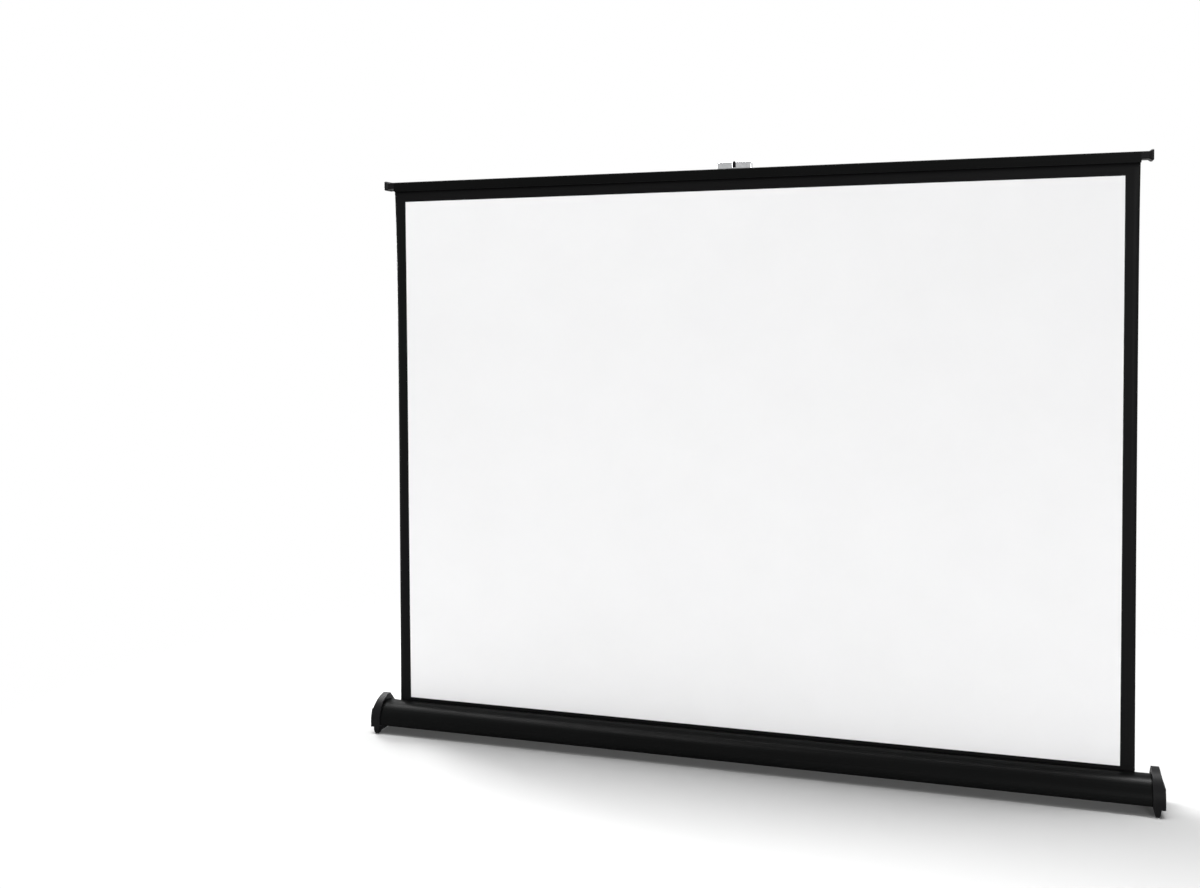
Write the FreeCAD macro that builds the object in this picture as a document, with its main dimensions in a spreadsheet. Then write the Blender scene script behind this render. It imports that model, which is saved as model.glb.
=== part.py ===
import FreeCAD, Part
import os

import Sketcher

# Tabletop projection screen: a low case with a spring roller, a cloth that is pulled up out of it
# by a top bar, and two pairs of folding arms behind the cloth that hold the bar up.
# X runs along the screen, +Y points to its back, +Z up. The origin is on the table, under the middle.

DIMS = {
    # picture and cloth
    "view_width": 813,
    "view_height": 610,
    "side_border": 14.5,
    "top_border": 13,
    "low_border": 3.8,
    "cloth_thick": 0.3,
    "cloth_gap": 0.3,
    "wrap_layers": 3,
    "hem_gap": 0.1,
    "hem_clear": 0.3,
    # case and its caps
    "wall": 1.5,
    "ground_gap": 9.5,
    "rail_height": 14.5,
    "rail_bevel_depth": 0.7,
    "rail_bevel_height": 3,
    "cloth_to_case_end": 23,
    "slot_gap": 2.2,
    "cover_lip": 2,
    "case_corner": 2,
    "port_radius": 3,
    "port_inset": 2.4,
    "port_bore": 1.4,
    "cap_lap": 8,
    "cap_plate": 4,
    "cap_rim": 1.6,
    "cap_fit": 0.1,
    "cap_rise": 6.8,
    "cap_crest": 4,
    "crest_flat": 2,
    "cap_ledge": 5.5,
    "cap_ledge_rise": 4.5,
    "cap_ledge_fall": 1,
    "cap_step": 1.5,
    "cap_step_rise": 1,
    "cap_draft": 2.5,
    "cap_seam_drop": 3.5,
    "cap_seam_width": 0.7,
    "cap_seam_depth": 0.5,
    "cap_corner": 2.5,
    "cap_round": 1.2,
    "foot_width": 5,
    "foot_setback": 5.2,
    "foot_draft": 0.8,
    "pad_reach": 10,
    "pad_thick": 1.6,
    "pad_inset": 0.5,
    "pad_round": 0.5,
    "socket_boss": 9,
    "boss_radius": 5.5,
    "socket_depth": 2,
    "screw_head": 2.8,
    "screw_head_height": 1.8,
    "screw_reach": 12,
    "screw_fit": 0.25,
    "thread_fit": 0.05,
    "recess_width": 0.8,
    "recess_length": 3,
    "recess_depth": 1,
    # roller
    "tube_dia": 13.6,
    "tube_wall": 1,
    "roller_setback": 17,
    "roller_to_rail": 14.7,
    "roller_rise": 11.3,
    "roller_drop": 12.2,
    "plug_collar": 11,
    "collar_gap": 0.5,
    "pin_inset": 2,
    "plug_insert": 22,
    "plug_fit": 0.05,
    "collar_chamfer": 0.6,
    "shaft_dia": 6,
    "shaft_fit": 0.1,
    "tang_thick": 4,
    "spring_radius": 4.7,
    "spring_wire": 1.4,
    "spring_pitch": 5.5,
    "spring_turns": 36,
    "spring_seat": 0.3,
    "anchor_length": 10,
    "anchor_gap": 0.6,
    # folding arms
    "pivot_half": 37,
    "raised_angle": 25.28,
    "arm_width": 9,
    "arm_thick": 3.2,
    "arm_round": 0.8,
    "arm_clear": 0.7,
    "arm_gap": 0.4,
    "elbow_boss": 14,
    "elbow_blend": 6,
    "washer_thick": 0.5,
    "washer_dia": 11,
    "rivet_dia": 4,
    "rivet_fit": 0.1,
    "rivet_head": 12,
    "rivet_head_height": 1.8,
    "rivet_rim": 0.5,
    "rivet_tail": 7,
    "rivet_tail_height": 0.8,
    "pivot_head": 7,
    "pivot_head_height": 1.4,
    "spacer_dia": 8,
    "spacer_gap": 0.1,
    # top bar
    "bar_height": 11,
    "bar_wall": 1.5,
    "bar_skin": 1,
    "bar_round": 1.2,
    "groove_width": 3,
    "groove_slot": 1,
    "lip_thick": 1,
    "rod_dia": 1.4,
    "rod_inset": 2,
    "bar_end_gap": 2.8,
    "neck_length": 7.2,
    "neck_height": 7.8,
    "flange_thick": 2,
    "flange_flare": 1.6,
    "flange_rear": 0.6,
    "flange_round": 2,
    "flange_edge": 0.7,
    "taper_length": 2.5,
    "spigot_length": 12,
    "spigot_fit": 0.2,
    "rest_gap": 0.3,
    # latch
    "grip_length": 39,
    "grip_width": 9,
    "grip_height": 7.8,
    "grip_base": 1.6,
    "grip_round": 2.8,
    "grip_edge": 0.7,
    "grip_lift": 0.1,
    "fin_width": 3,
    "fin_fit": 0.1,
    "fin_height": 8.4,
    "fin_taper": 0.7,
    "latch_travel": 8,
    "stem_length": 10,
    "hook_reach": 14,
    "hook_height": 4.5,
    "hook_drop": 6.5,
    "hook_thick": 3,
    "hook_fit": 0.3,
    "hook_tenon": 1,
    "hook_nose": 1.5,
    "hook_screw_dia": 2.5,
    "hook_screw_head": 4.2,
    "hook_screw_height": 1.1,
    "hook_screw_place": 7,
    "keeper_length": 6,
    "keeper_rise": 2,
    "keeper_thick": 1.4,
    "keeper_ear": 8,
    "keeper_rivet_drop": 6,
    "keeper_rivet_dia": 2.4,
    "keeper_rivet_head": 4,
    "keeper_rivet_height": 0.9,
}

# Places that follow from the dimensions above
PLACES = {
    "cloth_half": "dims.view_width / 2 + dims.side_border",
    "case_half": "cloth_half + dims.cloth_to_case_end",
    "cap_edge": "case_half - dims.cap_lap",
    "cap_outer": "case_half + dims.cap_plate",
    "tube_half": "case_half - dims.socket_boss - dims.collar_gap - dims.plug_collar",
    "channel_width": "2 * dims.arm_gap + dims.rivet_head_height + 2 * dims.arm_thick"
                     " + dims.washer_thick + dims.rivet_tail_height",
    "rail_depth": "channel_width + 2 * dims.wall",
    "case_depth": "dims.wall + dims.roller_setback + dims.roller_to_rail + rail_depth",
    "case_front": "-case_depth / 2",
    "case_rear": "case_depth / 2",
    "front_inner": "case_front + dims.wall",
    "roller_y": "front_inner + dims.roller_setback",
    "rail_front": "roller_y + dims.roller_to_rail",
    "channel_front": "rail_front + dims.wall",
    "channel_rear": "case_rear - dims.wall",
    "channel_mid": "(channel_front + channel_rear) / 2",
    "case_bottom": "dims.ground_gap",
    "floor_top": "case_bottom + dims.wall",
    "roller_z": "floor_top + dims.roller_rise",
    "cover_top": "roller_z + dims.roller_drop + dims.wall",
    "rail_top": "case_bottom + dims.rail_height",
    "tube_radius": "dims.tube_dia / 2",
    "tube_bore": "tube_radius - dims.tube_wall",
    "wraps_radius": "tube_radius + dims.wrap_layers * dims.cloth_thick",
    "cloth_low_y": "roller_y + wraps_radius + dims.cloth_gap + dims.cloth_thick / 2",
    "cover_edge": "cloth_low_y - dims.slot_gap",
    "cover_arc": "cover_edge - case_front - dims.cover_lip",
    "arc_y": "case_front + cover_arc",
    "arc_z": "cover_top - cover_arc",
    "port_front": "front_inner + dims.port_inset",
    "port_rear": "rail_front - dims.port_inset",
    "port_z": "floor_top + dims.port_inset",
    "cap_front": "case_front - dims.cap_rim",
    "cap_rear": "case_rear + dims.cap_rim",
    "cap_low": "case_bottom - dims.cap_rim",
    "cap_top": "cover_top + dims.cap_rise",
    "foot_outer": "cap_outer - dims.foot_setback",
    "foot_inner": "foot_outer - dims.foot_width",
    "crest_y": "cover_edge + dims.cap_crest",
    "cap_arc": "crest_y - dims.crest_flat - cap_front",
    "ledge_y": "cap_rear - dims.cap_ledge",
    "ledge_z": "rail_top + dims.cap_ledge_rise",
    "ledge_rear_z": "ledge_z - dims.cap_ledge_fall",
    "step_z": "ledge_z + dims.cap_step_rise",
    "seam_z": "ledge_rear_z - dims.cap_seam_drop",
    "image_bottom": "cover_top + dims.low_border",
    "bar_bottom": "image_bottom + dims.view_height + dims.top_border",
    "bar_top": "bar_bottom + dims.bar_height",
    "web_under": "bar_top - dims.bar_wall",
    "groove_front": "rail_front - dims.groove_width",
    "groove_y": "rail_front - dims.groove_width / 2",
    "bar_front": "groove_front - dims.bar_skin",
    "hem_inner": "dims.rod_dia / 2 + dims.hem_gap",
    "hem_outer": "hem_inner + dims.cloth_thick",
    "hem_z": "bar_bottom + dims.lip_thick + dims.hem_clear + hem_outer",
    "bar_end": "cap_edge - dims.bar_end_gap",
    "bar_half": "bar_end - dims.flange_thick - dims.taper_length - dims.neck_length",
    "plug_low": "bar_top - dims.neck_height",
    "upper_rear": "channel_rear - dims.arm_gap - dims.rivet_head_height",
    "upper_front": "upper_rear - dims.arm_thick",
    "lower_rear": "upper_front - dims.washer_thick",
    "lower_front": "lower_rear - dims.arm_thick",
    "base_pivot_z": "floor_top + dims.arm_clear + dims.arm_width / 2",
    "top_pivot_z": "web_under - dims.arm_clear - dims.arm_width / 2",
    "arm_length": "(top_pivot_z - base_pivot_z) / (2 * cos(dims.raised_angle * 1deg))",
    "neck_drop": "sqrt((dims.elbow_boss / 2 + dims.elbow_blend)^2"
                 " - (dims.arm_width / 2 + dims.elbow_blend)^2)",
    "boss_share": "dims.elbow_boss / (dims.elbow_boss + 2 * dims.elbow_blend)",
    "neck_z": "arm_length - neck_drop",
    "boss_x": "(dims.arm_width / 2 + dims.elbow_blend) * boss_share",
    "boss_z": "arm_length - neck_drop * boss_share",
    "elbow_x": "dims.pivot_half + arm_length * sin(dims.raised_angle * 1deg)",
    "elbow_z": "(base_pivot_z + top_pivot_z) / 2",
    "keeper_top": "rail_top + dims.keeper_rise",
    "closed_bar_bottom": "keeper_top + dims.rest_gap",
    "hook_top": "bar_bottom - dims.hook_drop + dims.hook_height",
    "hook_low": "bar_bottom - dims.hook_drop",
    "hook_tip": "-dims.stem_length / 2 - dims.hook_reach",
    "grip_low": "bar_top + dims.grip_lift",
    "keeper_right": "hook_tip - dims.latch_travel / 2",
    "keeper_left": "keeper_right - dims.keeper_length",
    "keeper_x": "(keeper_left + keeper_right) / 2",
    "keeper_rivet_z": "rail_top - dims.keeper_rivet_drop",
    "spring_start": "-tube_half + dims.plug_insert + dims.spring_seat + dims.spring_wire / 2",
    "spring_end": "spring_start + dims.spring_turns * dims.spring_pitch",
    "anchor_start": "spring_end + dims.spring_wire / 2 + dims.spring_seat",
    "anchor_end": "anchor_start + dims.anchor_length",
}

ALONG_X = FreeCAD.Rotation(FreeCAD.Vector(0, 1, 0), 90)
AGAINST_X = FreeCAD.Rotation(FreeCAD.Vector(0, 1, 0), -90)
ALONG_Y = FreeCAD.Rotation(FreeCAD.Vector(1, 0, 0), -90)
AGAINST_Y = FreeCAD.Rotation(FreeCAD.Vector(1, 0, 0), 90)
UPRIGHT = FreeCAD.Rotation()
SIDES = {"left": -1, "right": 1}
NEAR = 1e-4

doc = FreeCAD.newDocument("tabletop_screen")
nodes = []


def fill_sheet(name, cells):
    sheet = doc.addObject("Spreadsheet::Sheet", name)
    for row, (alias, content) in enumerate(cells.items(), start=1):
        sheet.set(f"A{row}", alias)
        sheet.set(f"B{row}", str(content))
        sheet.setAlias(f"B{row}", alias)
    doc.recompute()
    return sheet


dims = fill_sheet("dims", DIMS)
pos = fill_sheet("pos", {alias: "=" + formula for alias, formula in PLACES.items()})


# Ways of making a piece

def number(expression):
    return float(dims.evalExpression(expression))


def bind(feature, expressions):
    for path, expression in expressions.items():
        feature.setExpression(path, expression)


def place(feature, at, rotation=UPRIGHT):
    """Turns a feature and ties where it stands to three expressions."""
    feature.Placement = FreeCAD.Placement(FreeCAD.Vector(), rotation)
    bind(feature, dict(zip(("Placement.Base.x", "Placement.Base.y", "Placement.Base.z"), at)))


def node(feature, label):
    feature.Label = label
    nodes.append(feature)


def group_node(label, pieces):
    compound = doc.addObject("Part::Compound", label)
    compound.Links = pieces
    node(compound, label)


def new_body(name):
    return doc.addObject("PartDesign::Body", name)


def new_sketch(body, name, plane, start="0"):
    """A sketch on one of the body's origin planes, moved along that plane's normal by start."""
    sketch = body.newObject("Sketcher::SketchObject", name)
    support = next(f for f in body.Origin.OriginFeatures if f.Role == plane + "_Plane")
    sketch.AttachmentSupport = (support, [""])
    sketch.MapMode = "FlatFace"
    sketch.setExpression("AttachmentOffset.Base.z", start)
    return sketch


def rule(sketch, expression, kind, *where):
    index = sketch.addConstraint(Sketcher.Constraint(kind, *where, number(expression)))
    sketch.setExpression(f"Constraints[{index}]", expression)


def pin_point(sketch, geometry, end, u, v):
    rule(sketch, u, "DistanceX", -1, 1, geometry, end)
    rule(sketch, v, "DistanceY", -1, 1, geometry, end)


def round_stretch(start, end, radius, turn):
    """The arc from start to end, with the numbers of its two ends in that order."""
    chord = end - start
    left = FreeCAD.Vector(-chord.y, chord.x, 0).normalize()
    depth = max(radius ** 2 - chord.Length ** 2 / 4, 0) ** 0.5
    circle = Part.Circle((start + end) * 0.5 + left * (turn * depth), FreeCAD.Vector(0, 0, 1), radius)
    if turn > 0:
        return Part.ArcOfCircle(circle, circle.parameter(start), circle.parameter(end)), (1, 2)
    return Part.ArcOfCircle(circle, circle.parameter(end), circle.parameter(start)), (2, 1)


def outline(sketch, corners):
    """A closed loop of corners, each (u, v), or (u, v, radius, turn) where an arc leads on from it.

    turn is 1 where that arc bends to the left and -1 where it bends to the right.
    """
    points = [FreeCAD.Vector(number(corner[0]), number(corner[1]), 0) for corner in corners]
    edges = []
    for corner, start, end in zip(corners, points, points[1:] + points[:1]):
        shape, ends = Part.LineSegment(start, end), (1, 2)
        if len(corner) > 2:
            shape, ends = round_stretch(start, end, number(corner[2]), corner[3])
        edges.append((sketch.addGeometry(shape, False), ends))
    for corner, (edge, ends), (following, next_ends) in zip(corners, edges, edges[1:] + edges[:1]):
        sketch.addConstraint(Sketcher.Constraint("Coincident", edge, ends[1], following, next_ends[0]))
        pin_point(sketch, edge, ends[0], corner[0], corner[1])
        if len(corner) > 2:
            rule(sketch, corner[2], "Radius", edge)


def ring(sketch, u, v, radius):
    centre = FreeCAD.Vector(number(u), number(v), 0)
    circle = sketch.addGeometry(Part.Circle(centre, FreeCAD.Vector(0, 0, 1), number(radius)), False)
    pin_point(sketch, circle, 3, u, v)
    rule(sketch, radius, "Radius", circle)


def round_rectangle(u0, u1, v0, v1, radius):
    return [
        (f"{u0} + {radius}", v0), (f"{u1} - {radius}", v0, radius, 1),
        (u1, f"{v0} + {radius}"), (u1, f"{v1} - {radius}", radius, 1),
        (f"{u1} - {radius}", v1), (f"{u0} + {radius}", v1, radius, 1),
        (u0, f"{v1} - {radius}"), (u0, f"{v0} + {radius}", radius, 1),
    ]


def pad(body, sketch, length, both_ways=False):
    feature = body.newObject("PartDesign::Pad", sketch.Name + "_pad")
    feature.Profile = sketch
    feature.SideType = "Symmetric" if both_ways else "One side"
    feature.setExpression("Length", length)
    return feature


def pocket(body, sketch, length, both_ways=False):
    """Cuts along the sketch's normal, or half the length to each side of it."""
    feature = body.newObject("PartDesign::Pocket", sketch.Name + "_pocket")
    feature.Profile = sketch
    feature.SideType = "Symmetric" if both_ways else "One side"
    feature.Reversed = not both_ways
    feature.setExpression("Length", length)


def cylinder(body, kind, name, radius, length, at, rotation):
    feature = body.newObject(f"PartDesign::{kind}Cylinder", name)
    bind(feature, {"Radius": radius, "Height": length})
    place(feature, at, rotation)


def box(body, kind, name, size, at):
    feature = body.newObject(f"PartDesign::{kind}Box", name)
    bind(feature, dict(zip(("Length", "Width", "Height"), size)))
    place(feature, at)
    return feature


def round_edges(body, name, radius, chosen):
    """Rounds the edges of the body so far for which chosen(edge) is true."""
    doc.recompute()
    base = body.Tip
    edges = [f"Edge{i}" for i, edge in enumerate(base.Shape.Edges, start=1) if chosen(edge)]
    fillet = body.newObject("PartDesign::Fillet", name)
    fillet.Base = (base, edges)
    fillet.setExpression("Radius", radius)


def lies_on(axis, *expressions):
    """Picks the edges that lie in a plane across the axis, at one of the places given."""
    places = [number(expression) for expression in expressions]

    def chosen(edge):
        low, high = (getattr(edge.BoundBox, axis + end) for end in ("Min", "Max"))
        return any(abs(low - where) < NEAR and abs(high - where) < NEAR for where in places)
    return chosen


def turned(name, corners, at, rotation):
    """A piece turned about its own axis, from its half section in (radius, height)."""
    body = new_body(name)
    sketch = new_sketch(body, name + "_half_section", "XZ")
    outline(sketch, corners)
    revolution = body.newObject("PartDesign::Revolution", name + "_turn")
    revolution.Profile = sketch
    revolution.ReferenceAxis = (sketch, ["V_Axis"])
    revolution.Angle = 360
    place(body, at, rotation)
    return body


def sleeve(name, bore, radius, length, at, rotation):
    return turned(name, [(bore, "0"), (radius, "0"), (radius, length), (bore, length)], at, rotation)


def round_bar(name, radius, length, at):
    """A plain round bar along X."""
    return turned(name, [("0", "0"), (radius, "0"), (radius, length), ("0", length)], at, ALONG_X)


def rivet(name, shank, length, head, height, at, rotation, tail=None):
    """A rivet with its domed head above the origin; tail is a flat end's (radius, height), or none."""
    low = f"-({length})"
    dome = f"{height} - dims.rivet_rim"
    dome_radius = f"(({head})^2 + ({dome})^2) / (2 * ({dome}))"
    foot = [("0", low), (shank, low)]
    if tail:
        end = f"{low} - {tail[1]}"
        foot = [("0", end), (tail[0], end), (tail[0], low), (shank, low)]
    top = [(shank, "0"), (head, "0"), (head, "dims.rivet_rim", dome_radius, 1), ("0", height)]
    return turned(name, foot + top, at, rotation)


def reach(side, near, far):
    """Where a stretch between two distances from the middle starts on its way along +X."""
    return near if side > 0 else f"-({far})"


def mirrored(side, expression):
    return f"{side} * ({expression})"


# Case, caps and feet

def case_extrusion():
    body = new_body("case_extrusion")
    section = new_sketch(body, "case_section", "YZ")
    inner_arc = "pos.cover_arc - dims.wall"
    outline(section, [
        ("pos.case_rear", "pos.case_bottom"),
        ("pos.case_rear", "pos.rail_top - dims.rail_bevel_height"),
        ("pos.case_rear - dims.rail_bevel_depth", "pos.rail_top"),
        ("pos.channel_rear", "pos.rail_top"),
        ("pos.channel_rear", "pos.floor_top"),
        ("pos.channel_front", "pos.floor_top"),
        ("pos.channel_front", "pos.rail_top"),
        ("pos.rail_front", "pos.rail_top"),
        ("pos.rail_front", "pos.floor_top"),
        ("pos.front_inner", "pos.floor_top"),
        ("pos.front_inner", "pos.arc_z", inner_arc, -1),
        ("pos.arc_y", "pos.cover_top - dims.wall"),
        ("pos.cover_edge", "pos.cover_top - dims.wall"),
        ("pos.cover_edge", "pos.cover_top"),
        ("pos.arc_y", "pos.cover_top", "pos.cover_arc", 1),
        ("pos.case_front", "pos.arc_z"),
        ("pos.case_front", "pos.case_bottom + dims.case_corner", "dims.case_corner", 1),
        ("pos.case_front + dims.case_corner", "pos.case_bottom"),
    ])
    pad(body, section, "2 * pos.case_half", both_ways=True)
    ports = new_sketch(body, "screw_ports", "YZ")
    for y in ("pos.port_front", "pos.port_rear"):
        ring(ports, y, "pos.port_z", "dims.port_radius")
    pad(body, ports, "2 * pos.case_half", both_ways=True)
    for name, y in (("front_port_bore", "pos.port_front"), ("rear_port_bore", "pos.port_rear")):
        at = ("-pos.case_half", y, "pos.port_z")
        cylinder(body, "Subtractive", name, "dims.port_bore", "2 * pos.case_half", at, ALONG_X)
    rail_holes(body, "base_pivot_hole", "dims.rivet_dia / 2", "pos.base_pivot_z",
               [mirrored(side, "dims.pivot_half") for side in SIDES.values()])
    rail_holes(body, "keeper_hole", "dims.keeper_rivet_dia / 2", "pos.keeper_rivet_z", ["pos.keeper_x"])
    node(body, "case_extrusion")


def rail_holes(body, name, radius, z, places):
    """Holes from back to front through both walls of an arm channel."""
    for x in places:
        cylinder(body, "Subtractive", name, radius, "pos.rail_depth", (x, "pos.rail_front", z), ALONG_Y)


def cap_outline():
    return [
        ("pos.cap_front", "dims.pad_thick"),
        ("pos.cap_rear", "dims.pad_thick"),
        ("pos.cap_rear", "pos.ledge_rear_z"),
        ("pos.ledge_y", "pos.ledge_z"),
        ("pos.crest_y", "pos.cap_top"),
        ("pos.crest_y - dims.crest_flat", "pos.cap_top", "pos.cap_arc", 1),
        ("pos.cap_front", "pos.cap_top - pos.cap_arc"),
    ]


def cap_trims():
    """What is cut off a cap from front to back, in (x, z): its upper half and its foot stand back."""
    step = "pos.cap_outer - dims.cap_step"
    return {
        "upper_side": [("pos.cap_outer", "pos.step_z"), ("pos.cap_outer", "pos.cap_top"),
                       (f"{step} - dims.cap_draft", "pos.cap_top"), (step, "pos.step_z")],
        "outer_foot": [("pos.cap_outer", "pos.cap_low"), ("pos.cap_outer", "dims.pad_thick"),
                       ("pos.foot_outer", "dims.pad_thick"),
                       ("pos.foot_outer + dims.foot_draft", "pos.cap_low")],
        "inner_foot": [("pos.cap_edge", "pos.cap_low"), ("pos.cap_edge", "dims.pad_thick"),
                       ("pos.foot_inner", "dims.pad_thick"),
                       ("pos.foot_inner - dims.foot_draft", "pos.cap_low")],
    }


def cap_recess():
    return [
        ("pos.case_front - dims.cap_fit", "pos.case_bottom - dims.cap_fit"),
        ("pos.case_rear + dims.cap_fit", "pos.case_bottom - dims.cap_fit"),
        ("pos.case_rear + dims.cap_fit", "pos.ledge_rear_z - dims.cap_rim"),
        ("pos.ledge_y - dims.cap_rim / 2", "pos.ledge_z - dims.cap_rim"),
        ("pos.crest_y - dims.cap_rim / 2", "pos.cover_top + dims.cap_fit"),
        ("pos.arc_y", "pos.cover_top + dims.cap_fit", "pos.cover_arc + dims.cap_fit", 1),
        ("pos.case_front - dims.cap_fit", "pos.arc_z"),
    ]


def cap_corner(edge):
    """The long edges of a cap along the upper corner of its back and along its crest."""
    corners = (("pos.cap_rear", "pos.ledge_rear_z"), ("pos.crest_y", "pos.cap_top"))
    bounds = edge.BoundBox
    return any(
        bounds.XLength > NEAR and bounds.YLength < NEAR and bounds.ZLength < NEAR
        and abs(bounds.YMin - number(y)) < NEAR and abs(bounds.ZMin - number(z)) < NEAR
        for y, z in corners)


def end_cap(name, side):
    label = f"end_cap_{name}"
    body = new_body(label)
    shell = new_sketch(body, label + "_outline", "YZ", reach(side, "pos.cap_edge", "pos.cap_outer"))
    outline(shell, cap_outline())
    pad(body, shell, "dims.cap_lap + dims.cap_plate")
    round_edges(body, label + "_corners", "dims.cap_corner", cap_corner)
    for cut, corners in cap_trims().items():
        trim = new_sketch(body, f"{label}_{cut}", "XZ")
        outline(trim, [(mirrored(side, x), z) for x, z in corners])
        pocket(body, trim, "2 * pos.case_depth", both_ways=True)
    round_edges(body, label + "_rim", "dims.cap_round", lies_on("X", mirrored(side, "pos.cap_outer")))
    recess = new_sketch(body, label + "_recess", "YZ", reach(side, "pos.cap_edge", "pos.case_half"))
    outline(recess, cap_recess())
    pocket(body, recess, "dims.cap_lap")
    box(body, "Subtractive", label + "_seam",
        ("dims.cap_lap + dims.cap_plate", "dims.cap_seam_depth", "dims.cap_seam_width"),
        (reach(side, "pos.cap_edge", "pos.cap_outer"), "pos.cap_rear - dims.cap_seam_depth", "pos.seam_z"))
    roller_axis = ("pos.roller_y", "pos.roller_z")
    boss_near = "pos.case_half - dims.socket_boss"
    cylinder(body, "Additive", label + "_boss", "dims.boss_radius", "dims.socket_boss + dims.socket_depth",
             (reach(side, boss_near, "pos.case_half + dims.socket_depth"), *roller_axis), ALONG_X)
    socket(body, label, side, boss_near)
    for y in ("pos.port_front", "pos.port_rear"):
        screw_hole(body, label, side, y)
    node(body, label)


def socket(body, label, side, boss_near):
    """A slot that holds the spring shaft from turning at the left, a round hole for the pin at the right."""
    start = reach(side, boss_near, "pos.case_half + dims.socket_depth")
    depth = "dims.socket_boss + dims.socket_depth"
    if side > 0:
        cylinder(body, "Subtractive", label + "_socket", "dims.shaft_dia / 2 + dims.shaft_fit", depth,
                 (start, "pos.roller_y", "pos.roller_z"), ALONG_X)
        return
    width, height = ("dims.shaft_dia + 2 * dims.shaft_fit", "dims.tang_thick + 2 * dims.shaft_fit")
    box(body, "Subtractive", label + "_socket", (depth, width, height),
        (start, f"pos.roller_y - ({width}) / 2", f"pos.roller_z - ({height}) / 2"))


def screw_hole(body, label, side, y):
    seat = "dims.screw_head_height + dims.screw_fit"
    hole = (reach(side, "pos.case_half", "pos.cap_outer"), y, "pos.port_z")
    cylinder(body, "Subtractive", label + "_screw_hole", "dims.port_bore + dims.screw_fit", "dims.cap_plate",
             hole, ALONG_X)
    sink = (reach(side, f"pos.cap_outer - ({seat})", "pos.cap_outer"), y, "pos.port_z")
    cylinder(body, "Subtractive", label + "_screw_sink", "dims.screw_head + dims.screw_fit", seat,
             sink, ALONG_X)


def cross_screw(name, at, rotation):
    """A pan head screw with a cross recess, its head seated at the origin."""
    body = rivet(name, "dims.port_bore - dims.thread_fit", "dims.screw_reach", "dims.screw_head",
                 "dims.screw_head_height", at, rotation)
    low = "dims.screw_head_height - dims.recess_depth"
    long_way, short_way = "dims.recess_length", "dims.recess_width"
    for length, width in ((long_way, short_way), (short_way, long_way)):
        box(body, "Subtractive", name + "_recess", (length, width, "dims.recess_depth"),
            (f"-{length} / 2", f"-{width} / 2", low))
    return body


def end_cap_screws():
    seat = "pos.cap_outer - dims.screw_head_height - dims.screw_fit"
    group_node("end_cap_screws", [
        cross_screw(f"{name}_{end}_screw", (mirrored(side, seat), y, "pos.port_z"),
                    ALONG_X if side > 0 else AGAINST_X)
        for name, side in SIDES.items()
        for end, y in (("front", "pos.port_front"), ("rear", "pos.port_rear"))])


def foot_pad(name, side, low_y):
    body = new_body(name)
    size = ("dims.foot_width - 2 * dims.pad_inset", "dims.pad_reach - 2 * dims.pad_inset", "dims.pad_thick")
    near, far = "pos.foot_inner + dims.pad_inset", "pos.foot_outer - dims.pad_inset"
    box(body, "Additive", name + "_block", size, (reach(side, near, far), f"{low_y} + dims.pad_inset", "0"))
    round_edges(body, name + "_round", "dims.pad_round", lambda edge: edge.BoundBox.ZLength > NEAR)
    return body


def foot_pads():
    lows = {"front": "pos.cap_front", "rear": "pos.cap_rear - dims.pad_reach"}
    group_node("foot_pads", [foot_pad(f"{name}_{end}_pad", side, low_y)
                             for name, side in SIDES.items() for end, low_y in lows.items()])


# Roller and its spring

def on_roller(x):
    return (x, "pos.roller_y", "pos.roller_z")


def roller_plug(name, side):
    bore, radius = "dims.shaft_dia / 2 + dims.shaft_fit", "pos.tube_radius"
    insert, end = "pos.tube_bore - dims.plug_fit", "dims.plug_insert + dims.plug_collar"
    body = turned(f"{name}_plug", [
        (bore, "0"), (insert, "0"), (insert, "dims.plug_insert"),
        (f"{radius} - dims.collar_chamfer", "dims.plug_insert"),
        (radius, "dims.plug_insert + dims.collar_chamfer"),
        (radius, f"{end} - dims.collar_chamfer"), (f"{radius} - dims.collar_chamfer", end), (bore, end),
    ], on_roller(mirrored(side, "pos.tube_half - dims.plug_insert")), ALONG_X if side > 0 else AGAINST_X)
    node(body, {"left": "roller_spring_plug", "right": "roller_idle_plug"}[name])


def roller():
    node(sleeve("tube", "pos.tube_bore", "pos.tube_radius", "2 * pos.tube_half",
                on_roller("-pos.tube_half"), ALONG_X), "roller_tube")
    node(sleeve("wraps", "pos.tube_radius + dims.plug_fit", "pos.wraps_radius", "2 * pos.cloth_half",
                on_roller("-pos.cloth_half"), ALONG_X), "wound_cloth")
    for name, side in SIDES.items():
        roller_plug(name, side)


def spring_shaft():
    start, radius = "-pos.case_half - dims.socket_depth", "dims.shaft_dia / 2"
    length = "pos.anchor_end + pos.case_half + dims.socket_depth"
    body = round_bar("shaft", radius, length, on_roller(start))
    flat, tang = f"{radius} - dims.tang_thick / 2", "dims.socket_boss + dims.socket_depth"
    for x in ("dims.tang_thick / 2", f"-({radius})"):
        box(body, "Subtractive", "shaft_flat", (flat, "dims.shaft_dia", tang), (x, f"-({radius})", "0"))
    node(body, "spring_shaft")


def idle_pin():
    radius, start = "dims.shaft_dia / 2", "pos.tube_half - dims.plug_insert + dims.pin_inset"
    length = f"pos.case_half + dims.socket_depth - ({start})"
    node(round_bar("pin", radius, length, on_roller(start)), "idle_pin")


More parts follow.
